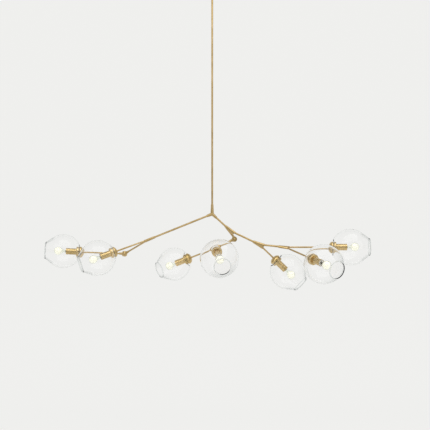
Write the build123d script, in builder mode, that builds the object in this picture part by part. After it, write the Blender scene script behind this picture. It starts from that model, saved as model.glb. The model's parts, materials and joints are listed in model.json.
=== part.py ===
from build123d import *
import os
from collections import namedtuple
from math import acos, atan2, cos, hypot, radians, sin, sqrt

# Branching globe chandelier: a stem hangs from a ceiling canopy, forks six times and ends in seven
# open glass globes. Millimetres, origin on the ceiling plane at the stem, +Z up, -Y towards the viewer.

# Brass tube, and the sockets it is brazed into
stem_diameter = 9.5
branch_diameter = 8.0
tube_wall = 1.0
socket_depth = 9.0
fit_gap = 0.1
running_gap = 0.05
wire_bore = 4.0

# Ceiling group
stem_drop = 1200.0
strap_length = 112.0
strap_width = 25.0
strap_thickness = 2.5
strap_drop = 12.0
strap_seat_length = 36.0
strap_ear_length = 26.0
slot_spacing = 80.0
slot_length = 20.0
slot_width = 5.0
bush_diameter = 16.0
bush_flange_diameter = 21.0
bush_flange_thickness = 3.0
bush_hole_gap = 0.2
stem_nut_across_flats = 17.0
stem_nut_height = 5.0
canopy_diameter = 125.0
canopy_depth = 26.0
canopy_wall = 1.2
canopy_corner = 14.0
collar_diameter = 28.0
collar_height = 17.0
collar_lip = 4.0
collar_nose_diameter = 17.0
stem_clearance = 0.5

# Arms: length in millimetres, heading about +Z from +X, pitch above the horizontal
left_arm_length = 351.5
left_arm_heading = 172.1
left_arm_pitch = -21.7
left_link_length = 165.0
left_link_heading = 153.6
left_link_pitch = -27.4
right_arm_length = 124.0
right_arm_heading = -6.3
right_arm_pitch = -42.4
centre_drop_length = 46.0
centre_drop_heading = 0.0
centre_drop_pitch = -64.0
middle_arm_length = 159.5
middle_arm_heading = -8.0
middle_arm_pitch = -25.1
outer_arm_length = 128.5
outer_arm_heading = -6.7
outer_arm_pitch = -5.6
centre_arm_length = 105.4
centre_arm_heading = 174.0
centre_arm_pitch = -25.2

# Lamp arms: the same, from the branching or knuckle to the back of the holder cup
arm_1_length = 209.5
arm_1_heading = -167.6
arm_1_pitch = 3.3
arm_2_length = 170.0
arm_2_heading = -158.9
arm_2_pitch = -18.6
arm_3_length = 136.5
arm_3_heading = 165.0
arm_3_pitch = -21.4
arm_4_length = 24.0
arm_4_heading = -81.4
arm_4_pitch = -19.3
arm_5_length = 93.0
arm_5_heading = 0.0
arm_5_pitch = -43.9
arm_6_length = 195.5
arm_6_heading = -60.9
arm_6_pitch = -12.0
arm_7_length = 211.0
arm_7_heading = -6.8
arm_7_pitch = 0.5

# Branching fittings
y_wall = 1.6
y_web = 1.5
y_trunk_length = 35.0
y_end_round = 2.0
hub_ball_diameter = 18.0
hub_chamber_diameter = 9.0
hub_root_diameter = 17.0
hub_trunk_length = 48.0
hub_arm_length = 28.0
swing_trunk_length = 30.0
swing_arm_length = 24.0

# Swivel knuckles
ear_diameter = 26.0
ear_thickness = 4.5
tongue_thickness = 7.0
knuckle_side_gap = 0.1
knuckle_rim_gap = 0.6
knuckle_neck_length = 28.0
knuckle_root_width = 20.0
knuckle_end_diameter = 10.0
tongue_bar_width = 15.0
spigot_length = 10.0
pivot_diameter = 5.0
pivot_head_diameter = 11.0
pivot_head_height = 3.0
pivot_crown_diameter = 6.0

# Lamp heads, measured along the lamp's axis from the back of its holder cup
cup_diameter = 54.0
cup_dome_depth = 13.0
cup_dome_slope = 0.08
cup_depth = 18.0
cup_wall = 1.6
cup_boss_diameter = 14.0
nipple_diameter = 12.0
flange_diameter = 51.0
flange_thickness = 12.0
flange_wall = 3.0
flange_round = 2.5
sleeve_diameter = 32.0
sleeve_wall = 1.2
sleeve_floor = 2.0
sleeve_end = 86.0
holder_recess = 2.0
bulb_diameter = 42.0
bulb_centre = 124.0
bulb_neck_diameter = 24.0
bulb_base_diameter = 14.0
bulb_base_length = 22.0
bulb_base_end = 88.0

# Blown glass globes
globe_1_diameter = 172.0
globe_2_diameter = 176.0
globe_3_diameter = 168.0
globe_4_diameter = 188.0
globe_5_diameter = 174.0
globe_6_diameter = 180.0
globe_7_diameter = 178.0
glass_wall = 2.4
neck_thickness = 5.0
neck_hole_diameter = 34.0
neck_flat_diameter = 60.0
mouth_diameter = 82.0
mouth_draw = 14.0
lip_diameter = 4.6

Lamp = namedtuple("Lamp", "root axis length globe")


def direction(heading, pitch):
    level = cos(radians(pitch))
    return Vector(level * cos(radians(heading)), level * sin(radians(heading)), sin(radians(pitch)))


# Centre lines
hub = Vector(0, 0, -stem_drop)
down = Vector(0, 0, -1)
left_way = direction(left_arm_heading, left_arm_pitch)
left_split = hub + left_way * left_arm_length
link_way = direction(left_link_heading, left_link_pitch)
left_pivot = left_split + link_way * left_link_length
right_way = direction(right_arm_heading, right_arm_pitch)
centre_split = hub + right_way * right_arm_length
drop_way = direction(centre_drop_heading, centre_drop_pitch)
centre_pivot = centre_split + drop_way * centre_drop_length
middle_way = direction(middle_arm_heading, middle_arm_pitch)
right_split = centre_split + middle_way * middle_arm_length
outer_way = direction(outer_arm_heading, outer_arm_pitch)
end_split = right_split + outer_way * outer_arm_length
centre_way = direction(centre_arm_heading, centre_arm_pitch)
swing_split = centre_pivot + centre_way * centre_arm_length

lamps = {
    1: Lamp(left_pivot, direction(arm_1_heading, arm_1_pitch), arm_1_length, globe_1_diameter),
    2: Lamp(left_split, direction(arm_2_heading, arm_2_pitch), arm_2_length, globe_2_diameter),
    3: Lamp(swing_split, direction(arm_3_heading, arm_3_pitch), arm_3_length, globe_3_diameter),
    4: Lamp(swing_split, direction(arm_4_heading, arm_4_pitch), arm_4_length, globe_4_diameter),
    5: Lamp(right_split, direction(arm_5_heading, arm_5_pitch), arm_5_length, globe_5_diameter),
    6: Lamp(end_split, direction(arm_6_heading, arm_6_pitch), arm_6_length, globe_6_diameter),
    7: Lamp(end_split, direction(arm_7_heading, arm_7_pitch), arm_7_length, globe_7_diameter),
}
left_pin_axis = link_way.cross(lamps[1].axis).normalized()
centre_pin_axis = drop_way.cross(centre_way).normalized()

# Heights along a lamp's axis, each seated on the one before
glass_seat = cup_depth
flange_seat = glass_seat + neck_thickness
sleeve_seat = flange_seat + flange_thickness
holder_seat = sleeve_seat + sleeve_floor
holder_end = sleeve_end - holder_recess
bulb_base_seat = bulb_base_end - bulb_base_length


def turning_plane(seat, axis):
    radial = axis.cross(Vector(0, 1, 0)).normalized()
    return Plane(origin=seat, x_dir=radial, z_dir=radial.cross(axis))


def lamp_seat(lamp):
    return lamp.root + lamp.axis * lamp.length


def keep(piece, name):
    piece.label = name
    export_step(piece, f"parts/{name}.step")


def tube(start, end, diameter):
    with BuildPart() as piece:
        with BuildSketch(Plane(origin=start, z_dir=end - start)):
            Circle(diameter / 2)
            Circle(diameter / 2 - tube_wall, mode=Mode.SUBTRACT)
        extrude(amount=(end - start).length)
    return piece.part


def outlet_seat(outlet_a, outlet_b, diameter_a, diameter_b):
    half = radians(outlet_a.get_angle(outlet_b) / 2)
    return (diameter_a / 2 + diameter_b / 2 + y_web) / (2 * sin(half))


def outlet_mouth(outlet_a, outlet_b, diameter_a, diameter_b, collar_diameter):
    # Distance along an outlet at which a collar of this diameter just meets the fitting's flat end
    half = radians(outlet_a.get_angle(outlet_b) / 2)
    end_distance = outlet_seat(outlet_a, outlet_b, diameter_a, diameter_b) * cos(half) + socket_depth
    return (end_distance + collar_diameter / 2 * sin(half)) / cos(half)


def flared_y(apex, trunk, trunk_diameter, *outlets):
    # A flattened trumpet: round at the trunk, flared to an ellipse that holds both outlets side by side
    (outlet_a, diameter_a), (outlet_b, diameter_b) = outlets
    ahead = (outlet_a + outlet_b).normalized()
    across = (outlet_a - outlet_b).normalized()
    half = radians(outlet_a.get_angle(outlet_b) / 2)
    seat = outlet_seat(outlet_a, outlet_b, diameter_a, diameter_b)
    end_distance = seat * cos(half) + socket_depth
    offset_at_end = end_distance * sin(half) / cos(half)
    outlet_radius = max(diameter_a, diameter_b) / 2 + y_wall
    long_radius = offset_at_end + outlet_radius
    short_radius = outlet_radius / sqrt(1 - (offset_at_end / long_radius) ** 2)
    end_plane = Plane(origin=apex + ahead * end_distance, x_dir=across, z_dir=ahead)
    trunk_side = (across - trunk * across.dot(trunk)).normalized()
    trunk_plane = Plane(origin=apex - trunk * y_trunk_length, x_dir=trunk_side, z_dir=trunk)
    with BuildPart() as piece:
        with BuildSketch(trunk_plane):
            Circle(trunk_diameter / 2 + y_wall)
        with BuildSketch(end_plane):
            Ellipse(long_radius, short_radius)
        loft()
        end_face = piece.faces().filter_by(GeomType.PLANE).sort_by_distance(end_plane.origin)[0]
        fillet(end_face.edges(), radius=y_end_round)
        with BuildSketch(trunk_plane):
            Circle(trunk_diameter / 2 + fit_gap)
        extrude(amount=socket_depth, mode=Mode.SUBTRACT)
        with BuildSketch(trunk_plane):
            Circle(wire_bore / 2)
        extrude(amount=y_trunk_length, mode=Mode.SUBTRACT)
        for outlet, diameter in outlets:
            with BuildSketch(Plane(origin=apex, z_dir=outlet)):
                Circle(wire_bore / 2)
            extrude(amount=seat, mode=Mode.SUBTRACT)
            with BuildSketch(Plane(origin=apex + outlet * seat, z_dir=outlet)):
                Circle(diameter / 2 + fit_gap)
            extrude(amount=end_distance, mode=Mode.SUBTRACT)
    return piece.part


def taper_face(origin, way, start_diameter, start, end_diameter, end):
    # Half the side view of a cone frustum standing on a line through origin
    with BuildSketch(turning_plane(origin, way)) as face:
        with BuildLine():
            Polyline(
                (0, start),
                (start_diameter / 2, start),
                (end_diameter / 2, end),
                (0, end),
                (0, start),
            )
        make_face()
    return face.sketch


def ball_y(centre, barrels, spigot=None):
    # Tapered barrels grown out of one ball; a spigot, where there is one, is a tube end left solid
    with BuildPart() as piece:
        with Locations(centre):
            Sphere(hub_ball_diameter / 2)
        for way, length, diameter in barrels:
            barrel = taper_face(centre, way, hub_root_diameter, 0, diameter + 2 * y_wall, length)
            revolve(barrel, axis=Axis(centre, way))
        if spigot:
            stub_way, stub_length, spigot_diameter = spigot
            stub = taper_face(centre, stub_way, hub_root_diameter, 0, cup_boss_diameter, stub_length)
            revolve(stub, axis=Axis(centre, stub_way))
            with BuildSketch(Plane(origin=centre + stub_way * stub_length, z_dir=stub_way)):
                Circle(spigot_diameter / 2)
            extrude(amount=socket_depth)
        with Locations(centre):
            Sphere(hub_chamber_diameter / 2, mode=Mode.SUBTRACT)
        for way, length, diameter in barrels:
            with BuildSketch(Plane(origin=centre, z_dir=way)):
                Circle(wire_bore / 2)
            extrude(amount=length, mode=Mode.SUBTRACT)
            with BuildSketch(Plane(origin=centre + way * (length - socket_depth), z_dir=way)):
                Circle(diameter / 2 + fit_gap)
            extrude(amount=socket_depth, mode=Mode.SUBTRACT)
        if spigot:
            with BuildSketch(Plane(origin=centre, z_dir=stub_way)):
                Circle(wire_bore / 2)
            extrude(amount=stub_length + socket_depth, mode=Mode.SUBTRACT)
    return piece.part


def round_face(plane, diameter):
    with BuildSketch(plane) as face:
        Circle(diameter / 2)
    return face.sketch


slot_thickness = tongue_thickness + 2 * knuckle_side_gap
fork_width = slot_thickness + 2 * ear_thickness
slot_diameter = ear_diameter + 2 * knuckle_rim_gap
pin_hole_diameter = pivot_diameter + 2 * running_gap


def flared_neck(pivot, pin_axis, way, reach):
    # The two ends of a neck that swells from its tube towards the knuckle, and to its full thickness
    across = pin_axis.cross(way)
    with BuildSketch(Plane(origin=pivot, x_dir=across, z_dir=way)) as knuckle_end:
        Ellipse(knuckle_root_width / 2, fork_width / 2)
    with BuildSketch(Plane(origin=pivot + way * reach, x_dir=across, z_dir=way)) as tube_end:
        Circle(knuckle_end_diameter / 2)
    return [knuckle_end.sketch, tube_end.sketch]


def fork(pivot, pin_axis, back, neck_length, spigot_diameter, spigot_reach):
    pin_plane = Plane(origin=pivot, z_dir=pin_axis)
    spigot_plane = Plane(origin=pivot + back * neck_length, z_dir=back)
    with BuildPart() as piece:
        loft(flared_neck(pivot, pin_axis, back, neck_length))
        extrude(round_face(pin_plane, ear_diameter), amount=fork_width / 2, both=True)
        extrude(round_face(spigot_plane, spigot_diameter), amount=spigot_reach)
        slot_face = round_face(pin_plane, slot_diameter)
        extrude(slot_face, amount=slot_thickness / 2, both=True, mode=Mode.SUBTRACT)
        pin_face = round_face(pin_plane, pin_hole_diameter)
        extrude(pin_face, amount=fork_width, both=True, mode=Mode.SUBTRACT)
    return piece.part


def tongue(pivot, pin_axis, ahead, spigot_diameter):
    pin_plane = Plane(origin=pivot, z_dir=pin_axis)
    spigot_plane = Plane(origin=pivot + ahead * knuckle_neck_length, z_dir=ahead)
    bar_length = slot_diameter / 2
    bar_plane = Plane(origin=pivot + ahead * bar_length / 2, x_dir=pin_axis.cross(ahead), z_dir=pin_axis)
    with BuildPart() as piece:
        loft(flared_neck(pivot, pin_axis, ahead, knuckle_neck_length))
        extrude(round_face(pin_plane, slot_diameter), amount=fork_width, both=True, mode=Mode.SUBTRACT)
        extrude(round_face(pin_plane, ear_diameter), amount=tongue_thickness / 2, both=True)
        with BuildSketch(bar_plane):
            Rectangle(tongue_bar_width, bar_length)
        extrude(amount=tongue_thickness / 2, both=True)
        extrude(round_face(spigot_plane, spigot_diameter), amount=spigot_length)
        pin_face = round_face(pin_plane, pin_hole_diameter)
        extrude(pin_face, amount=tongue_thickness, both=True, mode=Mode.SUBTRACT)
    return piece.part


def holder_cup(lamp):
    seat = lamp_seat(lamp)
    socket = branch_diameter / 2 + fit_gap
    floor = socket_depth + cup_wall
    inner = cup_diameter / 2 - cup_wall
    with BuildPart() as piece:
        with BuildSketch(turning_plane(seat, lamp.axis)):
            with BuildLine():
                Line((socket, 0), (cup_boss_diameter / 2, 0))
                TangentArc(
                    (cup_boss_diameter / 2, 0),
                    (cup_diameter / 2, cup_dome_depth),
                    tangent=(1, cup_dome_slope),
                )
                Line((cup_diameter / 2, cup_dome_depth), (cup_diameter / 2, cup_depth))
                Line((cup_diameter / 2, cup_depth), (inner, cup_depth))
                Line((inner, cup_depth), (nipple_diameter / 2, floor))
                Line((nipple_diameter / 2, floor), (nipple_diameter / 2, holder_seat))
                Line((nipple_diameter / 2, holder_seat), (wire_bore / 2, holder_seat))
                Line((wire_bore / 2, holder_seat), (wire_bore / 2, socket_depth))
                Line((wire_bore / 2, socket_depth), (socket, socket_depth))
                Line((socket, socket_depth), (socket, 0))
            make_face()
        revolve(axis=Axis(seat, lamp.axis))
    return piece.part


def globe(lamp):
    # A bubble flattened round its neck hole and drawn out to an open mouth, its cut edge melted to a bead
    seat = lamp_seat(lamp)
    outer = lamp.globe / 2
    inner = outer - glass_wall
    flat = neck_flat_diameter / 2
    hole = neck_hole_diameter / 2
    mouth = mouth_diameter / 2
    middle = glass_seat + sqrt(outer ** 2 - flat ** 2)
    inner_flat = sqrt(inner ** 2 - (middle - flange_seat) ** 2)
    rise = sqrt(outer ** 2 - mouth ** 2) + mouth_draw
    lean = atan2(mouth, rise) + acos(outer / hypot(mouth, rise))
    leave_out, leave_in = [(size * sin(lean), middle + size * cos(lean)) for size in (outer, inner)]
    edge_out, edge_middle, edge_in = [
        (mouth - depth * sin(lean), middle + rise - depth * cos(lean))
        for depth in (0, glass_wall / 2, glass_wall)
    ]
    with BuildPart() as piece:
        with BuildSketch(turning_plane(seat, lamp.axis)):
            with BuildLine():
                Line((hole, glass_seat), (flat, glass_seat))
                ThreePointArc((flat, glass_seat), (outer, middle), leave_out)
                Polyline(leave_out, edge_out, edge_in, leave_in)
                ThreePointArc(leave_in, (inner, middle), (inner_flat, flange_seat))
                Line((inner_flat, flange_seat), (hole, flange_seat))
                Line((hole, flange_seat), (hole, glass_seat))
            make_face()
            with Locations(edge_middle):
                Circle(lip_diameter / 2)
        revolve(axis=Axis(seat, lamp.axis))
    return piece.part


def socket_sleeve(lamp):
    seat = lamp_seat(lamp)
    hole = nipple_diameter / 2 + fit_gap
    flange = flange_diameter / 2
    flange_floor = sleeve_seat - flange_wall
    barrel = sleeve_diameter / 2
    with BuildPart() as piece:
        with BuildSketch(turning_plane(seat, lamp.axis)):
            with BuildLine():
                Line((hole, flange_floor), (flange - flange_wall, flange_floor))
                Line((flange - flange_wall, flange_floor), (flange - flange_wall, flange_seat))
                Line((flange - flange_wall, flange_seat), (flange, flange_seat))
                Line((flange, flange_seat), (flange, sleeve_seat - flange_round))
                TangentArc(
                    (flange, sleeve_seat - flange_round),
                    (flange - flange_round, sleeve_seat),
                    tangent=(0, 1),
                )
                Line((flange - flange_round, sleeve_seat), (barrel, sleeve_seat))
                Line((barrel, sleeve_seat), (barrel, sleeve_end))
                Line((barrel, sleeve_end), (barrel - sleeve_wall, sleeve_end))
                Line((barrel - sleeve_wall, sleeve_end), (barrel - sleeve_wall, holder_seat))
                Line((barrel - sleeve_wall, holder_seat), (hole, holder_seat))
                Line((hole, holder_seat), (hole, flange_floor))
            make_face()
        revolve(axis=Axis(seat, lamp.axis))
    return piece.part


def lampholders(chosen):
    outside = sleeve_diameter / 2 - sleeve_wall - fit_gap
    inside = bulb_base_diameter / 2 + fit_gap
    with BuildPart() as piece:
        for lamp in chosen:
            seat = lamp_seat(lamp)
            with BuildSketch(turning_plane(seat, lamp.axis)):
                with BuildLine():
                    Polyline(
                        (wire_bore / 2, holder_seat),
                        (outside, holder_seat),
                        (outside, holder_end),
                        (inside, holder_end),
                        (inside, bulb_base_seat),
                        (wire_bore / 2, bulb_base_seat),
                        (wire_bore / 2, holder_seat),
                    )
                make_face()
            revolve(axis=Axis(seat, lamp.axis))
    return piece.part


def bulb(lamp):
    seat = lamp_seat(lamp)
    ball = bulb_diameter / 2
    base = bulb_base_diameter / 2
    neck = bulb_neck_diameter / 2
    neck_height = bulb_centre - sqrt(ball ** 2 - neck ** 2)
    with BuildPart() as piece:
        with BuildSketch(turning_plane(seat, lamp.axis)):
            with BuildLine():
                Line((0, bulb_base_seat), (base, bulb_base_seat))
                Line((base, bulb_base_seat), (base, bulb_base_end))
                Spline(
                    (base, bulb_base_end),
                    (neck, neck_height),
                    tangents=((0, 1), (bulb_centre - neck_height, neck)),
                )
                ThreePointArc((neck, neck_height), (ball, bulb_centre), (0, bulb_centre + ball))
                Line((0, bulb_centre + ball), (0, bulb_base_seat))
            make_face()
        revolve(axis=Axis(seat, lamp.axis))
    return piece.part


os.makedirs("parts", exist_ok=True)

# Ceiling strap: an offset crossbar, its ears against the ceiling and its middle dropped clear of the stem nut
strap_ear = strap_length / 2 - strap_ear_length
strap_step = strap_seat_length / 2
strap_points = (
    (-strap_length / 2, 0),
    (-strap_ear, 0),
    (-strap_step, -strap_drop),
    (strap_step, -strap_drop),
    (strap_ear, 0),
    (strap_length / 2, 0),
)
strap_under = [(x, z - strap_thickness) for x, z in reversed(strap_points)]
with BuildPart() as mounting_strap:
    with BuildSketch(Plane.XZ):
        with BuildLine():
            Polyline(*strap_points, *strap_under, strap_points[0])
        make_face()
    extrude(amount=strap_width / 2, both=True)
    with BuildSketch(Plane.XY):
        with GridLocations(slot_spacing, 0, 2, 1):
            SlotOverall(slot_length, slot_width)
    extrude(amount=-strap_thickness, mode=Mode.SUBTRACT)
    with BuildSketch(Plane.XY.offset(-strap_drop)):
        Circle(bush_diameter / 2 + bush_hole_gap)
    extrude(amount=-strap_thickness, mode=Mode.SUBTRACT)
keep(mounting_strap.part, "mounting_strap")

# Stem bush: its flange lies on the strap and its thread carries the canopy's ring nut
bush_top = bush_flange_thickness - strap_drop
collar_bottom = -canopy_depth - collar_height
bush_bottom = collar_bottom + collar_lip
with BuildPart() as stem_bushing:
    with BuildSketch(Plane.XY.offset(-strap_drop)):
        Circle(bush_flange_diameter / 2)
    extrude(amount=bush_flange_thickness)
    with BuildSketch(Plane.XY.offset(bush_bottom)):
        Circle(bush_diameter / 2)
    extrude(amount=-strap_drop - bush_bottom)
    with BuildSketch(Plane.XY.offset(bush_bottom)):
        Circle(stem_diameter / 2 + running_gap)
    extrude(amount=bush_top - bush_bottom, mode=Mode.SUBTRACT)
keep(stem_bushing.part, "stem_bushing")

# Canopy: a spun dish with its rim on the ceiling
rim = canopy_diameter / 2
bush_hole = bush_diameter / 2 + bush_hole_gap
with BuildPart() as canopy:
    with BuildSketch(Plane.XZ):
        with BuildLine():
            Line((rim, 0), (rim, canopy_corner - canopy_depth))
            TangentArc(
                (rim, canopy_corner - canopy_depth),
                (rim - canopy_corner, -canopy_depth),
                tangent=(0, -1),
            )
            Line((rim - canopy_corner, -canopy_depth), (bush_hole, -canopy_depth))
            Line((bush_hole, -canopy_depth), (bush_hole, canopy_wall - canopy_depth))
            Line((bush_hole, canopy_wall - canopy_depth), (rim - canopy_corner, canopy_wall - canopy_depth))
            TangentArc(
                (rim - canopy_corner, canopy_wall - canopy_depth),
                (rim - canopy_wall, canopy_corner - canopy_depth),
                tangent=(1, 0),
            )
            Line((rim - canopy_wall, canopy_corner - canopy_depth), (rim - canopy_wall, 0))
            Line((rim - canopy_wall, 0), (rim, 0))
        make_face()
    revolve(axis=Axis.Z)
keep(canopy.part, "canopy")

# Canopy collar: a ring nut on the bush, closed to a lip round the stem
with BuildPart() as canopy_collar:
    with BuildSketch(Plane.XZ):
        with BuildLine():
            Polyline(
                (bush_diameter / 2 + fit_gap, -canopy_depth),
                (collar_diameter / 2, -canopy_depth),
                (collar_diameter / 2, -canopy_depth - collar_height / 2),
                (collar_nose_diameter / 2, collar_bottom),
                (stem_diameter / 2 + stem_clearance, collar_bottom),
                (stem_diameter / 2 + stem_clearance, bush_bottom),
                (bush_diameter / 2 + fit_gap, bush_bottom),
                (bush_diameter / 2 + fit_gap, -canopy_depth),
            )
        make_face()
    revolve(axis=Axis.Z)
keep(canopy_collar.part, "canopy_collar")

# Stem nut: a hexagon on the stem's top end that hangs on the bush's flange
with BuildPart() as stem_nut:
    with BuildSketch(Plane.XY.offset(bush_top)):
        RegularPolygon(stem_nut_across_flats / 2, 6, major_radius=False)
        Circle(stem_diameter / 2 + fit_gap, mode=Mode.SUBTRACT)
    extrude(amount=stem_nut_height)
keep(stem_nut.part, "stem_nut")

# Stem and main arms
hub_trunk_seat = hub_trunk_length - socket_depth
hub_arm_seat = hub_arm_length - socket_depth
trunk_seat = y_trunk_length - socket_depth
left_seat = outlet_seat(link_way, lamps[2].axis, branch_diameter, branch_diameter)
centre_seat = outlet_seat(middle_way, drop_way, stem_diameter, branch_diameter)
right_seat = outlet_seat(outer_way, lamps[5].axis, stem_diameter, branch_diameter)
end_seat = outlet_seat(lamps[6].axis, lamps[7].axis, branch_diameter, branch_diameter)
swing_trunk_seat = swing_trunk_length - socket_depth
swing_arm_seat = swing_arm_length - socket_depth

stem_top = Vector(0, 0, bush_top + stem_nut_height)
keep(tube(stem_top, hub - down * hub_trunk_seat, stem_diameter), "drop_rod")
keep(tube(hub + left_way * hub_arm_seat, left_split - left_way * trunk_seat, stem_diameter), "left_arm")
keep(tube(hub + right_way * hub_arm_seat, centre_split - right_way * trunk_seat, stem_diameter), "right_arm")
middle_start = centre_split + middle_way * centre_seat
keep(tube(middle_start, right_split - middle_way * trunk_seat, stem_diameter), "middle_arm")
outer_start = right_split + outer_way * right_seat
keep(tube(outer_start, end_split - outer_way * trunk_seat, stem_diameter), "outer_arm")
link_end = left_pivot - link_way * knuckle_neck_length
keep(tube(left_split + link_way * left_seat, link_end, branch_diameter), "left_link")
centre_arm_start = centre_pivot + centre_way * knuckle_neck_length
keep(tube(centre_arm_start, swing_split - centre_way * swing_trunk_seat, branch_diameter), "centre_arm")

# Branching fittings
hub_barrels = (
    (-down, hub_trunk_length, stem_diameter),
    (left_way, hub_arm_length, stem_diameter),
    (right_way, hub_arm_length, stem_diameter),
)
keep(ball_y(hub, hub_barrels), "hub_y")
to_link = (link_way, branch_diameter)
to_lamp_2 = (lamps[2].axis, branch_diameter)
keep(flared_y(left_split, left_way, stem_diameter, to_link, to_lamp_2), "left_y")
to_middle = (middle_way, stem_diameter)
to_drop = (drop_way, branch_diameter)
keep(flared_y(centre_split, right_way, stem_diameter, to_middle, to_drop), "centre_y")
to_outer = (outer_way, stem_diameter)
to_lamp_5 = (lamps[5].axis, branch_diameter)
keep(flared_y(right_split, middle_way, stem_diameter, to_outer, to_lamp_5), "right_y")
to_lamp_6 = (lamps[6].axis, branch_diameter)
to_lamp_7 = (lamps[7].axis, branch_diameter)
keep(flared_y(end_split, outer_way, stem_diameter, to_lamp_6, to_lamp_7), "end_y")
swing_barrels = (
    (-centre_way, swing_trunk_length, branch_diameter),
    (lamps[3].axis, swing_arm_length, branch_diameter),
)
lamp_4_spigot = (lamps[4].axis, lamps[4].length, branch_diameter)
keep(ball_y(swing_split, swing_barrels, lamp_4_spigot), "swing_y")

# Swivel knuckles: a forked half on the fixed side, a tongued half on the lamp side, one screw through both
tube_spigot = branch_diameter - 2 * tube_wall - 2 * fit_gap
left_fork = fork(left_pivot, left_pin_axis, -link_way, knuckle_neck_length, tube_spigot, spigot_length)
keep(left_fork, "left_fork")
keep(tongue(left_pivot, left_pin_axis, lamps[1].axis, tube_spigot), "left_tongue")
centre_mouth = outlet_mouth(middle_way, drop_way, stem_diameter, branch_diameter, knuckle_end_diameter)
centre_neck = centre_drop_length - centre_mouth
centre_spigot = centre_mouth - centre_seat
centre_fork = fork(centre_pivot, centre_pin_axis, -drop_way, centre_neck, branch_diameter, centre_spigot)
keep(centre_fork, "centre_fork")
keep(tongue(centre_pivot, centre_pin_axis, centre_way, tube_spigot), "centre_tongue")

with BuildPart() as pivot_screws:
    for pivot, pin_axis in ((left_pivot, left_pin_axis), (centre_pivot, centre_pin_axis)):
        head_seat = pivot - pin_axis * fork_width / 2
        with BuildSketch(turning_plane(head_seat, pin_axis)):
            with BuildLine():
                Line((0, -pivot_head_height), (pivot_crown_diameter / 2, -pivot_head_height))
                RadiusArc(
                    (pivot_crown_diameter / 2, -pivot_head_height),
                    (pivot_head_diameter / 2, 0),
                    -pivot_head_diameter / 2,
                )
                Line((pivot_head_diameter / 2, 0), (pivot_diameter / 2, 0))
                Line((pivot_diameter / 2, 0), (pivot_diameter / 2, fork_width))
                Line((pivot_diameter / 2, fork_width), (0, fork_width))
                Line((0, fork_width), (0, -pivot_head_height))
            make_face()
        revolve(axis=Axis(head_seat, pin_axis))
keep(pivot_screws.part, "pivot_screws")

# Lamp arms, each from its branching or knuckle into its holder cup
arm_starts = {
    1: knuckle_neck_length,
    2: left_seat,
    3: swing_arm_seat,
    5: right_seat,
    6: end_seat,
    7: end_seat,
}
for number, start in arm_starts.items():
    lamp = lamps[number]
    arm_end = lamp_seat(lamp) + lamp.axis * socket_depth
    keep(tube(lamp.root + lamp.axis * start, arm_end, branch_diameter), f"arm_{number}")

# Lamp heads
for number, lamp in lamps.items():
    keep(holder_cup(lamp), f"holder_cup_{number}")
    keep(globe(lamp), f"globe_{number}")
    keep(socket_sleeve(lamp), f"socket_sleeve_{number}")
    keep(bulb(lamp), f"bulb_{number}")
keep(lampholders([lamps[1]]), "lampholder_left")
keep(lampholders([lamps[3], lamps[4]]), "lampholders_centre")
keep(lampholders([lamps[2], lamps[5], lamps[6], lamps[7]]), "lampholders_fixed")
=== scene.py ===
import json
import math

import bmesh
import bpy
import numpy as np
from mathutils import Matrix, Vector, noise

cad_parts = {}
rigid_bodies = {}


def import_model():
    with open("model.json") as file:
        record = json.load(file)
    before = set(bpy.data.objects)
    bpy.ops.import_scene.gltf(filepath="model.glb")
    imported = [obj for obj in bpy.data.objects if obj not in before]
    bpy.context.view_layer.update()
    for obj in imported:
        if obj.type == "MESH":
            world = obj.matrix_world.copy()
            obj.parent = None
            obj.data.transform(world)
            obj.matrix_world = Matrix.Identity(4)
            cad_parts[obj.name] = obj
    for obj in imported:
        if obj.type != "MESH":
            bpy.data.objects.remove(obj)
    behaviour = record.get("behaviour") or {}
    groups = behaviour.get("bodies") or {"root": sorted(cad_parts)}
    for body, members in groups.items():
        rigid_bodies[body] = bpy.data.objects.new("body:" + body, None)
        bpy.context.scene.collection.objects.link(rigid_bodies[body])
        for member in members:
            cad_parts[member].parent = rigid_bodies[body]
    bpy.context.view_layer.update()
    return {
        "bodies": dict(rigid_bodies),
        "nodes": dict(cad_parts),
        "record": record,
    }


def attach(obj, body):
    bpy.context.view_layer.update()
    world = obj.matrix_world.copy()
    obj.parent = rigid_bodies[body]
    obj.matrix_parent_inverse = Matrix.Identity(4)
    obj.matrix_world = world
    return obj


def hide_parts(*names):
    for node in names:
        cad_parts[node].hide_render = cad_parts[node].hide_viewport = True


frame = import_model()
cadNodes = frame["nodes"]
bodyMembers = frame["record"]["behaviour"]["bodies"]
bodyOf = {node: body for body, members in bodyMembers.items() for node in members}
mm = 0.001
lampNumbers = range(1, 8)
noiseLow, noiseHigh = 0.3, 0.7  # nearly all of a noise texture's values lie between these


def hexColour(code):  # sRGB hex to linear RGBA
    parts = [int(code[i:i + 2], 16) / 255 for i in (1, 3, 5)]
    linear = [c / 12.92 if c <= 0.04045 else ((c + 0.055) / 1.055) ** 2.4 for c in parts]
    return (*linear, 1.0)


def addNode(tree, kind, inputs=None, **settings):
    node = tree.nodes.new(kind)
    for name, value in settings.items():
        setattr(node, name, value)
    for name, value in (inputs or {}).items():
        if isinstance(value, bpy.types.NodeSocket):
            tree.links.new(value, node.inputs[name])
        else:
            node.inputs[name].default_value = value
    return node


def newMaterial(name):
    material = bpy.data.materials.new(name)
    material.use_nodes = True
    material.node_tree.nodes.clear()
    return material, material.node_tree


def perMetre(sizeMm):  # a noise texture's scale for features of this size
    return 1.0 / (sizeMm * mm)


def setStops(ramp, stops):  # colour stops as (position, colour)
    while len(ramp.elements) < len(stops):
        ramp.elements.new(0.5)
    for element, (position, colour) in zip(ramp.elements, stops):
        element.position = position
        element.color = colour


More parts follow.
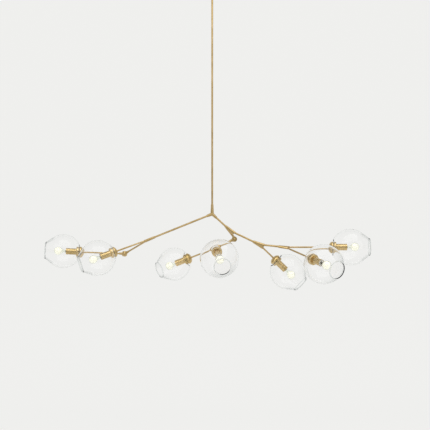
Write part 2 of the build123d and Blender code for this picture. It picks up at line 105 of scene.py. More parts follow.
brassFinish = {
    "tube": {"deep": "#A88E59", "mid": "#BBA06D", "bright": "#CBB183"},  # deep where the lacquer has toned
    "lampHeadPaintedLighter": {"deep": "#B59A61", "mid": "#CAAF78", "bright": "#DBC190"},  # painted lighter than the tube brass: painted light, making up for the lamp heads looking darker inside the glass globes
    "roughLow": 0.17,
    "roughHigh": 0.30,
    "driftMm": 60.0,  # slow change of tone along an arm
    "driftDetail": 4.0,
    "driftRough": 0.6,
    "deepAt": 0.32,
    "midAt": 0.5,
    "brushMm": 1.6,  # satin brush marks are near 0.1 mm, drawn this coarse so that they show
    "brushDetail": 3.0,
    "brushDepthMm": 0.006,
    "brushStrength": 0.35,
    "lacquer": 0.25,
    "lacquerRough": 0.18,
}


def makeSatinBrass(name, tones):  # brushed and lacquered brass: warm, soft wide highlights
    material, tree = newMaterial(name)
    place = addNode(tree, "ShaderNodeTexCoord").outputs["Object"]
    finish = brassFinish
    drift = addNode(tree, "ShaderNodeTexNoise",
                    {"Vector": place, "Scale": perMetre(finish["driftMm"]), "Detail": finish["driftDetail"],
                     "Roughness": finish["driftRough"]})
    brush = addNode(tree, "ShaderNodeTexNoise",
                    {"Vector": place, "Scale": perMetre(finish["brushMm"]), "Detail": finish["brushDetail"]})
    tone = addNode(tree, "ShaderNodeValToRGB", {"Fac": drift.outputs["Fac"]})
    setStops(tone.color_ramp, [(finish["deepAt"], hexColour(tones["deep"])),
                               (finish["midAt"], hexColour(tones["mid"])),
                               (noiseHigh, hexColour(tones["bright"]))])
    gloss = addNode(tree, "ShaderNodeMapRange",
                    {"Value": brush.outputs["Fac"], "From Min": noiseLow, "From Max": noiseHigh,
                     "To Min": finish["roughLow"], "To Max": finish["roughHigh"]})
    marks = addNode(tree, "ShaderNodeBump",
                    {"Height": brush.outputs["Fac"], "Strength": finish["brushStrength"],
                     "Distance": finish["brushDepthMm"] * mm})
    shader = addNode(tree, "ShaderNodeBsdfPrincipled",
                     {"Base Color": tone.outputs["Color"], "Metallic": 1.0,
                      "Roughness": gloss.outputs["Result"], "Coat Weight": finish["lacquer"],
                      "Coat Roughness": finish["lacquerRough"], "Normal": marks.outputs["Normal"]})
    addNode(tree, "ShaderNodeOutputMaterial", {"Surface": shader.outputs["BSDF"]})
    return material


glassFinish = {
    "clear": "#FFFFFF",
    "rim": "#F4F6F5",  # seen edge on, through much more glass; the grey is also painted shade on the outline
    "mouthRim": "#A4ACAA",  # the wall is drawn out thicker towards the mouth, and this darker tint also paints a dark outline there as painted shade
    "lip": "#EAEDEC",  # the melted bead is thicker still, and its grey is also painted shade for a dark line round the lip
    "lipRim": "#B4BCBA",
    "ior": 1.52,
    "mirror": "#8C8C8C",  # reflections held back, as with black cloth round the photographer's lamps
    "rimStart": 0.45,  # how slanted the glass is where the edge tint sets in
    "striaMm": 38.0,
    "striaDetail": 1.0,
    "striaTwist": 0.8,
    "striaDepthMm": 0.05,
    "striaStrength": 0.5,
}


def makeBlownGlass(name, face, edge):  # blown soda-lime glass: clear, soft waves, grey where seen edge on, partly from the longer path through the glass and partly painted shade on the outlines
    material, tree = newMaterial(name)
    place = addNode(tree, "ShaderNodeTexCoord").outputs["Object"]
    finish = glassFinish
    stria = addNode(tree, "ShaderNodeTexNoise",
                    {"Vector": place, "Scale": perMetre(finish["striaMm"]), "Detail": finish["striaDetail"],
                     "Distortion": finish["striaTwist"]})
    wave = addNode(tree, "ShaderNodeBump",
                   {"Height": stria.outputs["Fac"], "Strength": finish["striaStrength"],
                    "Distance": finish["striaDepthMm"] * mm})
    # painted shade: the base colour greys towards grazing angles and draws dark outlines; part of it stands
    # for the longer path through the glass
    slant = addNode(tree, "ShaderNodeLayerWeight", {"Blend": 0.5})
    tint = addNode(tree, "ShaderNodeValToRGB", {"Fac": slant.outputs["Facing"]})
    setStops(tint.color_ramp, [(finish["rimStart"], hexColour(face)), (1.0, hexColour(edge))])
    shader = addNode(tree, "ShaderNodeBsdfPrincipled",
                     {"Base Color": tint.outputs["Color"], "Roughness": 0.0, "IOR": finish["ior"],
                      "Specular Tint": hexColour(finish["mirror"]), "Transmission Weight": 1.0,
                      "Normal": wave.outputs["Normal"]})
    addNode(tree, "ShaderNodeOutputMaterial", {"Surface": shader.outputs["BSDF"]})
    return material


bulbGlassFinish = {"clear": "#F8FAF4", "rough": 0.03, "ior": 1.5}


def makeBulbGlass():  # thin clear bulb envelope: a grey-green rim round the lit core
    material, tree = newMaterial("thinBulbGlass")
    finish = bulbGlassFinish
    shader = addNode(tree, "ShaderNodeBsdfPrincipled",
                     {"Base Color": hexColour(finish["clear"]), "Roughness": finish["rough"],
                      "IOR": finish["ior"], "Transmission Weight": 1.0})
    addNode(tree, "ShaderNodeOutputMaterial", {"Surface": shader.outputs["BSDF"]})
    return material


glowFinish = {"skin": "#FFFCF2", "grain": "#F6EBD0", "light": "#FFFDF4", "strength": 0.64, "grainMm": 2.5,
              "grainDetail": 2.0, "rough": 0.6}


def makeLitOpal():  # opal-coated lit core: even warm white with a soft powder grain
    material, tree = newMaterial("litOpalCoating")
    place = addNode(tree, "ShaderNodeTexCoord").outputs["Object"]
    finish = glowFinish
    grain = addNode(tree, "ShaderNodeTexNoise",
                    {"Vector": place, "Scale": perMetre(finish["grainMm"]), "Detail": finish["grainDetail"]})
    skin = addNode(tree, "ShaderNodeValToRGB", {"Fac": grain.outputs["Fac"]})
    setStops(skin.color_ramp, [(noiseLow, hexColour(finish["grain"])),
                               (noiseHigh, hexColour(finish["skin"]))])
    shader = addNode(tree, "ShaderNodeBsdfPrincipled",
                     {"Base Color": skin.outputs["Color"], "Roughness": finish["rough"],
                      "Emission Color": hexColour(finish["light"]), "Emission Strength": finish["strength"]})
    addNode(tree, "ShaderNodeOutputMaterial", {"Surface": shader.outputs["BSDF"]})
    return material


porcelainFinish = {"speck": "#DDD8CC", "white": "#EFECE4", "speckMm": 3.0, "speckDetail": 4.0,
                   "speckAt": 0.25, "whiteAt": 0.45, "rough": 0.14, "glaze": 0.6, "glazeRough": 0.05}


def makePorcelain():  # glazed lampholder porcelain: white, wet-looking, faintly speckled
    material, tree = newMaterial("glazedPorcelain")
    place = addNode(tree, "ShaderNodeTexCoord").outputs["Object"]
    finish = porcelainFinish
    speck = addNode(tree, "ShaderNodeTexNoise",
                    {"Vector": place, "Scale": perMetre(finish["speckMm"]), "Detail": finish["speckDetail"]})
    glaze = addNode(tree, "ShaderNodeValToRGB", {"Fac": speck.outputs["Fac"]})
    setStops(glaze.color_ramp, [(finish["speckAt"], hexColour(finish["speck"])),
                                (finish["whiteAt"], hexColour(finish["white"]))])
    shader = addNode(tree, "ShaderNodeBsdfPrincipled",
                     {"Base Color": glaze.outputs["Color"], "Roughness": finish["rough"],
                      "Coat Weight": finish["glaze"], "Coat Roughness": finish["glazeRough"]})
    addNode(tree, "ShaderNodeOutputMaterial", {"Surface": shader.outputs["BSDF"]})
    return material


zincFinish = {"dull": "#A9AEB2", "bright": "#C4C8CA", "spangleMm": 6.0, "roughLow": 0.30, "roughHigh": 0.48}


def makeZincSteel():  # zinc-plated pressed steel: grey crystals a few millimetres across
    material, tree = newMaterial("zincPlatedSteel")
    place = addNode(tree, "ShaderNodeTexCoord").outputs["Object"]
    finish = zincFinish
    spangle = addNode(tree, "ShaderNodeTexVoronoi", {"Vector": place, "Scale": perMetre(finish["spangleMm"])})
    rough = addNode(tree, "ShaderNodeMapRange",
                    {"Value": spangle.outputs["Color"], "To Min": finish["roughLow"],
                     "To Max": finish["roughHigh"]})
    colour = addNode(tree, "ShaderNodeValToRGB", {"Fac": spangle.outputs["Color"]})
    setStops(colour.color_ramp, [(0.0, hexColour(finish["dull"])), (1.0, hexColour(finish["bright"]))])
    shader = addNode(tree, "ShaderNodeBsdfPrincipled",
                     {"Base Color": colour.outputs["Color"], "Metallic": 1.0,
                      "Roughness": rough.outputs["Result"]})
    addNode(tree, "ShaderNodeOutputMaterial", {"Surface": shader.outputs["BSDF"]})
    return material


nickelFinish = {"metal": "#C9C4BA", "hazeMm": 5.0, "hazeDetail": 3.0, "roughLow": 0.16, "roughHigh": 0.34}


def makeNickel():  # nickel-plated bulb cap: cool, bright, slightly hazed by handling
    material, tree = newMaterial("nickelPlatedCap")
    place = addNode(tree, "ShaderNodeTexCoord").outputs["Object"]
    finish = nickelFinish
    haze = addNode(tree, "ShaderNodeTexNoise",
                   {"Vector": place, "Scale": perMetre(finish["hazeMm"]), "Detail": finish["hazeDetail"]})
    rough = addNode(tree, "ShaderNodeMapRange",
                    {"Value": haze.outputs["Fac"], "To Min": finish["roughLow"],
                     "To Max": finish["roughHigh"]})
    shader = addNode(tree, "ShaderNodeBsdfPrincipled",
                     {"Base Color": hexColour(finish["metal"]), "Metallic": 1.0,
                      "Roughness": rough.outputs["Result"]})
    addNode(tree, "ShaderNodeOutputMaterial", {"Surface": shader.outputs["BSDF"]})
    return material


satinBrass = makeSatinBrass("drawnSatinBrass", brassFinish["tube"])
# the lamp heads' brass is a copy of the tube brass painted lighter, as painted light for what the glass round
# them holds back
lampHeadBrassPaintedLighter = makeSatinBrass("satinBrassPaintedLighter", brassFinish["lampHeadPaintedLighter"])
blownGlass = makeBlownGlass("blownSodaLimeGlass", glassFinish["clear"], glassFinish["rim"])
mouthGlass = makeBlownGlass("mouthGlassWithPaintedEdgeShade", glassFinish["clear"], glassFinish["mouthRim"])
lipGlass = makeBlownGlass("firePolishedLip", glassFinish["lip"], glassFinish["lipRim"])
bulbGlass = makeBulbGlass()
litOpal = makeLitOpal()
porcelain = makePorcelain()
zincSteel = makeZincSteel()
nickel = makeNickel()
slotFinish = {"satin_brass": satinBrass, "globe_glass": blownGlass, "bulb_glass": bulbGlass,
              "porcelain": porcelain, "strap_steel": zincSteel}
slotOf = {entry["node"]: entry["material_slot"] for entry in frame["record"]["subparts"]}
for name, node in cadNodes.items():
    # holder cups and socket sleeves take the copy of the brass that is painted lighter, as painted light
    turned = name.startswith(("holder_cup", "socket_sleeve"))
    node.data.materials.clear()
    node.data.materials.append(lampHeadBrassPaintedLighter if turned else slotFinish[slotOf[name]])
print("materials: brass, blown glass, bulb glass, lit opal, porcelain, zinc, nickel")


def uniquePoints(node):  # to the micrometre, in metres
    points = np.array([v.co for v in cadNodes[node].data.vertices])
    return np.unique(np.round(points, 6), axis=0)


def turnAxis(points):  # centre and axis of a turned piece: its odd direction of spread is the axis
    centre = points.mean(0)
    spread, directions = np.linalg.eigh(np.cov((points - centre).T))
    apart = 0 if spread[1] - spread[0] > spread[2] - spread[1] else 2
    return Vector(centre), Vector(directions[:, apart])


def lampPlace(number):  # matrix with its origin at the back of the holder cup and +Z along the lamp
    centre, axis = turnAxis(uniquePoints(f"socket_sleeve_{number}"))
    bulbCentre = Vector(uniquePoints(f"bulb_{number}").mean(0))
    if axis.dot(bulbCentre - centre) < 0:
        axis = -axis
    back = min(axis.dot(Vector(p) - centre) for p in uniquePoints(f"holder_cup_{number}"))
    place = axis.to_track_quat("Z", "Y").to_matrix().to_4x4()
    place.translation = centre + axis * back
    return place


lampPlaces = {number: lampPlace(number) for number in lampNumbers}


def arcPoints(centre, radius, startDeg, endDeg, count):  # (radius, along) points; 0 degrees is along the lamp
    angles = [math.radians(startDeg + (endDeg - startDeg) * i / count) for i in range(count + 1)]
    return [(centre[0] + radius * math.sin(a), centre[1] + radius * math.cos(a)) for a in angles]


onAxis = 0.0001  # millimetres, under which a profile point is a pole
mergeWithin = 0.0001 * mm


def lathe(name, profile, steps, shape=None):  # closed profile of (radius, along) points in millimetres
    vertices, rings = [], []
    for radius, along in profile:
        count = 1 if radius < onAxis else steps
        rings.append(range(len(vertices), len(vertices) + count))
        for k in range(count):
            angle = 2 * math.pi * k / steps
            vertices.append(Vector((radius * math.cos(angle), radius * math.sin(angle), along)))
    if shape:
        vertices = [shape(v) for v in vertices]
    faces = []
    for a, b in zip(rings, rings[1:] + rings[:1]):
        for k in range(steps):
            corners = (a[k % len(a)], a[(k + 1) % len(a)], b[(k + 1) % len(b)], b[k % len(b)])
            loop = tuple(dict.fromkeys(corners))
            if len(loop) > 2:
                faces.append(loop)
    mesh = bpy.data.meshes.new(name)
    mesh.from_pydata([v * mm for v in vertices], [], faces)
    return mesh


def finishMesh(mesh, place, creaseDeg):  # outward normals, smooth faces, creases kept
    mesh.transform(place)
    shell = bmesh.new()
    shell.from_mesh(mesh)
    bmesh.ops.remove_doubles(shell, verts=shell.verts, dist=mergeWithin)
    bmesh.ops.recalc_face_normals(shell, faces=shell.faces)
    shell.to_mesh(mesh)
    shell.free()
    mesh.shade_smooth()
    mesh.set_sharp_from_angle(angle=math.radians(creaseDeg))
    return mesh


def addPiece(name, mesh, finishes, body, stands=()):
    piece = bpy.data.objects.new(name, mesh)
    bpy.context.scene.collection.objects.link(piece)
    for finish in finishes:
        mesh.materials.append(finish)
    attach(piece, body)
    if stands:
        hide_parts(*stands)
    return piece


globeForm = {  # millimetres; heights run along the lamp from the back of its holder cup
    "diameters": {1: 172.0, 2: 176.0, 3: 168.0, 4: 188.0, 5: 174.0, 6: 180.0, 7: 178.0},
    "back": 18.0,  # where the glass meets the cup
    "neckGlass": 5.0,
    "wall": 2.4,
    "neckHole": 34.0,
    "neckFlat": 60.0,
    "mouth": 82.0,
    "mouthDraw": 14.0,  # the wall runs straight on to a mouth this far beyond the ball
    "lip": 4.6,  # fire-polished bead round the mouth
    "beadReach": 1.4,  # in bead radii; faces this near to the bead's middle get its glass
    "ease": 0.8,  # melted edges of the neck hole
    "waveMm": 70.0,  # how far apart the swells of the hand-blown wall are
    "waveDepth": 0.5,
    "waveShift": 7.3,  # gives each globe its own swells
    "calmMm": 30.0,  # the clamped neck has none, and they grow over this length
    "steps": 128,
    "arcSteps": 40,
    "wallSteps": 10,
    "beadSteps": 16,
    "creaseDeg": 60.0,
}


def evenPoints(start, end, count):  # points from start to end, start left out
    return [tuple(a + (b - a) * i / count for a, b in zip(start, end)) for i in range(1, count + 1)]


def blownGlobe(number):
    form = globeForm
    outer = form["diameters"][number] / 2
    inner = outer - form["wall"]
    middle = form["back"] + math.sqrt(outer ** 2 - (form["neckFlat"] / 2) ** 2)
    mouth = form["mouth"] / 2
    rise = math.sqrt(outer ** 2 - mouth ** 2) + form["mouthDraw"]
    lean = math.atan2(mouth, rise) + math.acos(outer / math.hypot(mouth, rise))
    leanDeg = math.degrees(lean)  # where the straight wall leaves the ball
    half = form["wall"] / 2
    lip = form["lip"] / 2
    lipCentre = (mouth - half * math.sin(lean), middle + rise - half * math.cos(lean))
    leave = math.degrees(math.acos(half / lip))  # where the bead leaves the wall
    bead = arcPoints(lipCentre, lip, leanDeg + leave, leanDeg - 180 - leave, form["beadSteps"])
    backDeg = 180 - math.degrees(math.asin(form["neckFlat"] / 2 / outer))
    seat = form["back"] + form["neckGlass"]
    seatDeg = math.degrees(math.acos((seat - middle) / inner))
    hole = form["neckHole"] / 2
    ease = form["ease"]
    outside = [(hole + ease, form["back"])]
    outside += arcPoints((0, middle), outer, backDeg, leanDeg, form["arcSteps"])
    outside += evenPoints(outside[-1], bead[0], form["wallSteps"])
    inside = arcPoints((0, middle), inner, leanDeg, seatDeg, form["arcSteps"])
    profile = outside + bead[1:] + evenPoints(bead[-1], inside[0], form["wallSteps"]) + inside[1:]
    profile += [(hole + ease, seat), (hole, seat - ease), (hole, form["back"] + ease)]
    centre = Vector((0, 0, middle))

    def swell(v):
        share = min(1.0, max(0.0, (v.z - seat) / form["calmMm"]))
        wave = noise.noise(v / form["waveMm"] + Vector((form["waveShift"] * number, 0, 0)))
        return centre + (v - centre) * (1 - share * form["waveDepth"] * (1 + wave) / 2 / outer)

    mesh = lathe(f"blownGlobe{number}", profile, form["steps"], swell)
    lipRing = Vector(lipCentre) * mm
    wallStart = (middle + outer * math.cos(lean)) * mm
    beadReach = form["beadReach"] * lip * mm
    finishes = [blownGlass, mouthGlass, lipGlass]
    finishOf = []
    for face in mesh.polygons:
        onBead = (Vector((face.center.xy.length, face.center.z)) - lipRing).length < beadReach
        onWall = face.center.z > wallStart
        finish = lipGlass if onBead else mouthGlass if onWall else blownGlass
        finishOf.append(finishes.index(finish))
    mesh.polygons.foreach_set("material_index", finishOf)
    finishMesh(mesh, lampPlaces[number], form["creaseDeg"])
    node = f"globe_{number}"
    globe = addPiece(f"blownGlobe{number}", mesh, finishes, bodyOf[node], [node])
    globe.visible_shadow = False  # clear glass lets the lamps light what it holds


for number in lampNumbers:
    blownGlobe(number)
print("globes: seven blown shells with fire-polished lips")

bulbForm = {  # millimetres, from the same start; outlines are (radius, height)
    "centre": 124.0,
    "ball": 21.0,
    "wall": 0.9,
    "neck": [(6.4, 88.5), (6.7, 91.0), (7.6, 96.0), (9.3, 101.0)],  # outside of the neck, cap to ball
    "ballStartDeg": 146.0,
    "core": 18.4,
    "stem": [(0.0, 70.6), (1.8, 70.6), (1.9, 101.0), (2.6, 104.0), (3.4, 106.4),
             (0.0, 106.4)],  # glass, from the cap to the core that it carries
    "cap": [(0.0, 66.2), (2.6, 66.2), (3.0, 67.4), (4.4, 68.2), (6.0, 70.0), (6.2, 87.0), (6.8, 87.6),
            (6.8, 89.2), (5.6, 89.6), (5.6, 70.6), (0.0, 70.6)],
    "steps": 64,
    "arcSteps": 28,
    "creaseDeg": 50.0,
}


def smallRoundBulb(number):
    form = bulbForm
    middle = (0, form["centre"])
    outside = form["neck"] + arcPoints(middle, form["ball"], form["ballStartDeg"], 0, form["arcSteps"])
    inside = arcPoints(middle, form["ball"] - form["wall"], 0, form["ballStartDeg"], form["arcSteps"])
    inside += [(radius - form["wall"], along) for radius, along in reversed(form["neck"])]
    lit = arcPoints(middle, form["core"], 180, 0, form["arcSteps"])
    body = bodyOf[f"bulb_{number}"]
    for name, profile, finish, slot, stands in (
            ("bulbEnvelope", outside + inside, bulbGlass, "bulb_glass", [f"bulb_{number}"]),
            ("bulbCore", lit, litOpal, "bulb_glass", []),
            ("bulbStem", form["stem"], bulbGlass, "bulb_glass", []),
            ("bulbCap", form["cap"], nickel, None, [])):
        mesh = lathe(f"{name}{number}", profile, form["steps"])
        finishMesh(mesh, lampPlaces[number], form["creaseDeg"])
        addPiece(f"{name}{number}", mesh, [finish], body, stands)


for number in lampNumbers:
    smallRoundBulb(number)
print("bulbs: envelope, lit core, stem and cap in each lamp")


def repeatTree(name, sizes, buildShape, material):  # one shape on every seat, turned along the seat's way
    tree = bpy.data.node_groups.new(name, "GeometryNodeTree")
    tree.interface.new_socket("Seats", in_out="INPUT", socket_type="NodeSocketGeometry")
    for label, value in sizes.items():
        socket = tree.interface.new_socket(label, in_out="INPUT", socket_type="NodeSocketFloat")
        socket.default_value = value
    tree.interface.new_socket("Pieces", in_out="OUTPUT", socket_type="NodeSocketGeometry")
    given = addNode(tree, "NodeGroupInput").outputs
    shape = buildShape(tree, given)
    way = addNode(tree, "GeometryNodeInputNamedAttribute", {"Name": "way"}, data_type="FLOAT_VECTOR")
    turn = addNode(tree, "FunctionNodeAlignRotationToVector", {"Vector": way.outputs["Attribute"]}, axis="Z")
    girth = addNode(tree, "GeometryNodeInputNamedAttribute", {"Name": "girth"}, data_type="FLOAT")
    placed = addNode(tree, "GeometryNodeInstanceOnPoints",
                     {"Points": given["Seats"], "Instance": shape, "Rotation": turn.outputs["Rotation"],
                      "Scale": girth.outputs["Attribute"]})
    solid = addNode(tree, "GeometryNodeRealizeInstances", {"Geometry": placed.outputs["Instances"]})
    coated = addNode(tree, "GeometryNodeSetMaterial",
                     {"Geometry": solid.outputs["Geometry"], "Material": material})
    addNode(tree, "NodeGroupOutput", {"Pieces": coated.outputs["Geometry"]})
    return tree


def setOnSeats(name, tree, sizes, seats):  # seats are (position, way, girth); gives a plain mesh
    mesh = bpy.data.meshes.new(name + "Seats")
    mesh.from_pydata([position for position, way, girth in seats], [], [])
    mesh.attributes.new("way", "FLOAT_VECTOR", "POINT")
    mesh.attributes.new("girth", "FLOAT", "POINT")
    ways = [part for position, way, girth in seats for part in way]
    mesh.attributes["way"].data.foreach_set("vector", ways)
    mesh.attributes["girth"].data.foreach_set("value", [girth for position, way, girth in seats])
    carrier = bpy.data.objects.new(name + "Seats", mesh)
    bpy.context.scene.collection.objects.link(carrier)
    modifier = carrier.modifiers.new("repeat", "NODES")
    modifier.node_group = tree
    for item in tree.interface.items_tree:
        if item.in_out == "INPUT" and item.name in sizes:
            modifier[item.identifier] = sizes[item.name]
    bpy.context.view_layer.update()
    evaluated = carrier.evaluated_get(bpy.context.evaluated_depsgraph_get())
    made = bpy.data.meshes.new_from_object(evaluated)
    made.name = name
    made.materials.clear()  # the piece names its own
    carrier.modifiers.remove(modifier)
    bpy.data.objects.remove(carrier)
    return made


threadSizes = {"Radius": 6.25 * mm, "Rise": 12.7 * mm, "Turns": 5.0, "Ridge": 0.45 * mm}
threadSteps = {"turn": 32, "ridge": 6}
threadFootMm = 72.0  # from the back of the holder cup


def threadShape(tree, given):  # rolled thread: a ridge wound up the cap
    helix = addNode(tree, "GeometryNodeCurveSpiral",
                    {"Resolution": threadSteps["turn"], "Rotations": given["Turns"],
                     "Start Radius": given["Radius"], "End Radius": given["Radius"], "Height": given["Rise"]})
    ridge = addNode(tree, "GeometryNodeCurvePrimitiveCircle",
                    {"Resolution": threadSteps["ridge"], "Radius": given["Ridge"]})
    swept = addNode(tree, "GeometryNodeCurveToMesh",
                    {"Curve": helix.outputs["Curve"], "Profile Curve": ridge.outputs["Curve"],
                     "Fill Caps": True})
    smooth = addNode(tree, "GeometryNodeSetShadeSmooth", {"Geometry": swept.outputs["Mesh"]})
    return smooth.outputs["Geometry"]


threadTree = repeatTree("capThread", threadSizes, threadShape, nickel)
threadStart = Vector((0, 0, threadFootMm)) * mm
for body in sorted(frame["bodies"]):
    seats = [(place @ threadStart, place.to_3x3() @ Vector((0, 0, 1)), 1.0)
             for number, place in lampPlaces.items() if bodyOf[f"bulb_{number}"] == body]
    if seats:
        threads = setOnSeats("capThreads", threadTree, threadSizes, seats)
        addPiece(f"capThreads_{body}", threads, [nickel], body)

seamSizes = {"Ring": 1.0, "Bead": 0.13}  # both as shares of the tube's radius, which is a seat's girth
seamSteps = {"ring": 40, "bead": 8}


def seamShape(tree, given):  # braze line left where a tube enters its fitting
    ring = addNode(tree, "GeometryNodeCurvePrimitiveCircle",
                   {"Resolution": seamSteps["ring"], "Radius": given["Ring"]})
    bead = addNode(tree, "GeometryNodeCurvePrimitiveCircle",
                   {"Resolution": seamSteps["bead"], "Radius": given["Bead"]})
    swept = addNode(tree, "GeometryNodeCurveToMesh",
                    {"Curve": ring.outputs["Curve"], "Profile Curve": bead.outputs["Curve"]})
    smooth = addNode(tree, "GeometryNodeSetShadeSmooth", {"Geometry": swept.outputs["Mesh"]})
    return smooth.outputs["Geometry"]


screwSizes = {"Head Radius": 5.5 * mm, "Head Height": 3.0 * mm, "Shaft Radius": 2.5 * mm,
              "Shaft Length": 16.2 * mm, "Key Radius": 2.0 * mm, "Key Depth": 1.8 * mm}
screwSteps = {"headRound": 40, "headRise": 24, "shaft": 32, "key": 6}
screwTrim = 40.0 * mm  # block that cuts the ball flat under the head
screwCreaseDeg = 35.0
screwsApart = 0.1  # metres; the two knuckles lie further from each other than this
headEdge = 0.95  # points at this share of the head's radius or more are its edge


def screwShape(tree, given):  # domed head with a hexagon key hole, on a shaft; the seat is under the head
    flatten = addNode(tree, "ShaderNodeMath", {0: given["Head Height"], 1: given["Head Radius"]},
                      operation="DIVIDE")
    ball = addNode(tree, "GeometryNodeMeshUVSphere",
                   {"Segments": screwSteps["headRound"], "Rings": screwSteps["headRise"],
                    "Radius": given["Head Radius"]})
    dome = addNode(tree, "GeometryNodeTransform",
                   {"Geometry": ball.outputs["Mesh"],
                    "Scale": addNode(tree, "ShaderNodeCombineXYZ",
                                     {"X": 1.0, "Y": 1.0, "Z": flatten.outputs["Value"]}).outputs["Vector"]})
    under = addNode(tree, "GeometryNodeMeshCube", {"Size": (screwTrim, screwTrim, screwTrim)})
    below = addNode(tree, "GeometryNodeTransform",
                    {"Geometry": under.outputs["Mesh"], "Translation": (0, 0, -screwTrim / 2)})
    twice = addNode(tree, "ShaderNodeMath", {0: given["Key Depth"], 1: 2.0},
                    operation="MULTIPLY")  # half of the cutter stands clear of the head
    key = addNode(tree, "GeometryNodeMeshCylinder",
                  {"Vertices": screwSteps["key"], "Radius": given["Key Radius"],
                   "Depth": twice.outputs["Value"]})
    top = addNode(tree, "ShaderNodeCombineXYZ", {"Z": given["Head Height"]})
    keyHole = addNode(tree, "GeometryNodeTransform",
                      {"Geometry": key.outputs["Mesh"], "Translation": top.outputs["Vector"]})
    head = addNode(tree, "GeometryNodeMeshBoolean", {"Mesh 1": dome.outputs["Geometry"]},
                   operation="DIFFERENCE")
    for tool in (below, keyHole):
        tree.links.new(tool.outputs["Geometry"], head.inputs["Mesh 2"])
    rod = addNode(tree, "GeometryNodeMeshCylinder",
                  {"Vertices": screwSteps["shaft"], "Radius": given["Shaft Radius"],
                   "Depth": given["Shaft Length"]})
    half = addNode(tree, "ShaderNodeMath", {0: given["Shaft Length"], 1: -0.5}, operation="MULTIPLY")
    middle = addNode(tree, "ShaderNodeCombineXYZ", {"Z": half.outputs["Value"]})
    shaft = addNode(tree, "GeometryNodeTransform",
                    {"Geometry": rod.outputs["Mesh"], "Translation": middle.outputs["Vector"]})
    both = addNode(tree, "GeometryNodeJoinGeometry")
    for part in (head.outputs["Mesh"], shaft.outputs["Geometry"]):
        tree.links.new(part, both.inputs["Geometry"])
    return both.outputs["Geometry"]


def screwSeats(node):  # where each head sits on its fork, and which way the head faces
    points = uniquePoints(node)
    nearFirst = np.linalg.norm(points - points[0], axis=1) < screwsApart
    seats = []
    for cluster in (points[nearFirst], points[~nearFirst]):
        centre, axis = turnAxis(cluster)
        along = (cluster - np.array(centre)) @ np.array(axis)
        out = np.linalg.norm(cluster - np.array(centre) - np.outer(along, axis), axis=1)
        head = along[out > out.max() * headEdge].mean()
        seats.append((centre + axis * head, axis * math.copysign(1, head), 1.0))
    return seats


screwTree = repeatTree("pivotScrew", screwSizes, screwShape, satinBrass)
screwMesh = setOnSeats("pivotScrews", screwTree, screwSizes, screwSeats("pivot_screws"))
screwMesh.shade_smooth()
screwMesh.set_sharp_from_angle(angle=math.radians(screwCreaseDeg))
addPiece("pivotScrewHeads", screwMesh, [satinBrass], bodyOf["pivot_screws"],
         ["pivot_screws"])

socketDepth = 9.0 * mm
seamEnds = {  # how deep a tube's near and far ends go into their fittings; None where a flared end hides it
    "drop_rod": (None, socketDepth),
    "left_arm": (socketDepth, socketDepth),
    "right_arm": (socketDepth, socketDepth),
    "middle_arm": (None, socketDepth),
    "outer_arm": (None, socketDepth),
    "left_link": (None, 0.0),
    "centre_arm": (0.0, socketDepth),
    "arm_1": (0.0, socketDepth),
    "arm_2": (None, socketDepth),
    "arm_3": (socketDepth, socketDepth),
    "arm_5": (None, socketDepth),
    "arm_6": (None, socketDepth),
    "arm_7": (None, socketDepth),
}


def tubeSeams(node, depths):  # seats on a tube; an arm's near end is nearer the stem, the stem's is its top
    points = uniquePoints(node)
    centre, axis = turnAxis(points)
    start = Vector((0, 0, centre.z if node != "drop_rod" else 0))
    if axis.dot(centre - start) < 0:
        axis = -axis
    along = (points - np.array(centre)) @ np.array(axis)
    radius = np.linalg.norm(points - np.array(centre) - np.outer(along, axis), axis=1).max()
    seats = []
    for end, inward, depth in ((along.min(), 1, depths[0]), (along.max(), -1, depths[1])):
        if depth is not None:
            seats.append((centre + axis * (end + inward * depth), axis, radius))
    return seats


seamTree = repeatTree("brazeSeam", seamSizes, seamShape, satinBrass)
for body in sorted(frame["bodies"]):
    seats = [seat for node, depths in seamEnds.items() if bodyOf[node] == body
             for seat in tubeSeams(node, depths)]
    if seats:
        seams = setOnSeats("brazeSeams", seamTree, seamSizes, seats)
        addPiece(f"brazeSeams_{body}", seams, [satinBrass], body)
print("repeats: cap threads, pivot screws and braze seams")

studio = {  # metres
    "backdrop": "#EFEFED",
    "floorZ": -3.8,
    "back": 6.5,
    "sweep": 1.6,
    "sweepSteps": 16,
    "half": 12.0,
    "high": 6.0,
    "glow": 0.972,
    "shade": 0.05,  # the part of the paper's tone that takes shadows
    "ambient": 0.75,
    "mirrored": 0.72,  # the room as the metal and the glass mirror it, dimmer than the paper
    "aim": (0, 0, -1.3),
}


def seenByEye(tree):  # 1 for rays from the camera, metal and glass, 0 for light that falls on things
    path = addNode(tree, "ShaderNodeLightPath").outputs
    metal = addNode(tree, "ShaderNodeMath", {0: path["Is Camera Ray"], 1: path["Is Glossy Ray"]},
                    operation="MAXIMUM")
    glass = addNode(tree, "ShaderNodeMath", {0: metal.outputs["Value"], 1: path["Is Transmission Ray"]},
                    operation="MAXIMUM")
    return glass.outputs["Value"]


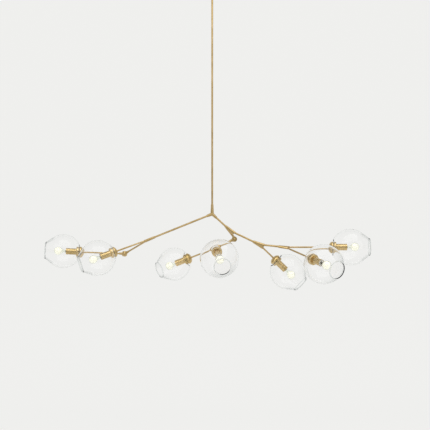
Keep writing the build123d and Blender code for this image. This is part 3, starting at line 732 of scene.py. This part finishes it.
def studioSweep():  # floor and backdrop in one curved sheet
    profile = [(-studio["half"], studio["floorZ"])]
    bend = studio["sweep"]
    turnY, turnZ = studio["back"] - bend, studio["floorZ"] + bend
    for i in range(studio["sweepSteps"] + 1):
        angle = math.pi / 2 * i / studio["sweepSteps"]
        profile.append((turnY + bend * math.sin(angle), turnZ - bend * math.cos(angle)))
    profile.append((studio["back"], studio["high"]))
    vertices = [(side * studio["half"], y, z) for y, z in profile for side in (-1, 1)]
    faces = [(2 * i, 2 * i + 1, 2 * i + 3, 2 * i + 2) for i in range(len(profile) - 1)]
    mesh = bpy.data.meshes.new("studioSweep")
    mesh.from_pydata(vertices, [], faces)
    mesh.shade_smooth()
    sweep = bpy.data.objects.new("studioSweep", mesh)
    bpy.context.scene.collection.objects.link(sweep)
    material, tree = newMaterial("paleStudioPaper")
    seen = addNode(tree, "ShaderNodeMapRange",
                   {"Value": seenByEye(tree), "To Min": 0.0, "To Max": studio["glow"]})
    glow = addNode(tree, "ShaderNodeEmission",
                   {"Color": hexColour(studio["backdrop"]), "Strength": seen.outputs["Result"]})
    paper = addNode(tree, "ShaderNodeBsdfDiffuse", {"Color": (studio["shade"],) * 3 + (1.0,)})
    both = addNode(tree, "ShaderNodeAddShader", {0: glow.outputs["Emission"], 1: paper.outputs["BSDF"]})
    addNode(tree, "ShaderNodeOutputMaterial", {"Surface": both.outputs["Shader"]})
    mesh.materials.append(material)


def studioWorld():  # even room light, as bright to the eye as the paper and dimmer in mirrors
    world = bpy.data.worlds.new("studioWorld")
    bpy.context.scene.world = world
    world.use_nodes = True
    tree = world.node_tree
    tree.nodes.clear()
    path = addNode(tree, "ShaderNodeLightPath").outputs
    plain = addNode(tree, "ShaderNodeMapRange",
                    {"Value": seenByEye(tree), "To Min": studio["ambient"], "To Max": 1.0})
    strength = addNode(tree, "ShaderNodeMapRange",
                       {"Value": path["Is Glossy Ray"], "To Min": plain.outputs["Result"],
                        "To Max": studio["mirrored"]})
    air = addNode(tree, "ShaderNodeBackground",
                  {"Color": hexColour(studio["backdrop"]), "Strength": strength.outputs["Result"]})
    addNode(tree, "ShaderNodeOutputWorld", {"Surface": air.outputs["Background"]})


softboxes = {  # place, watts, width, height
    "keySoftbox": ((-3.6, -3.8, 1.4), 46.0, 4.4, 3.4),
    "fillSoftbox": ((4.0, -3.2, -0.2), 31.0, 3.6, 3.6),
    "topSoftbox": ((0.3, -1.5, 1.5), 60.0, 4.6, 3.0),
}


def studioLights(aim):
    for name, (place, watts, width, height) in softboxes.items():
        light = bpy.data.lights.new(name, "AREA")
        light.shape = "RECTANGLE"
        light.size, light.size_y = width, height
        light.energy = watts
        lamp = bpy.data.objects.new(name, light)
        lamp.location = place
        lamp.visible_camera = False
        lamp.rotation_euler = (aim - Vector(place)).to_track_quat("-Z", "Y").to_euler()
        bpy.context.scene.collection.objects.link(lamp)


view = {"place": (0.014, -3.0, -1.205), "lens": 50.23, "sensor": 36.0}


def photoCamera():  # level, straight on, as the photograph was taken
    camera = bpy.data.cameras.new("photoCamera")
    camera.lens = view["lens"]
    camera.sensor_width = view["sensor"]
    holder = bpy.data.objects.new("photoCamera", camera)
    holder.location = view["place"]
    holder.rotation_euler = (math.pi / 2, 0, 0)
    bpy.context.scene.collection.objects.link(holder)
    bpy.context.scene.camera = holder


studioSweep()
studioWorld()
studioLights(Vector(studio["aim"]))
photoCamera()
bpy.context.scene.view_settings.view_transform = "Standard"
print("studio: sweep, world, softboxes and camera")
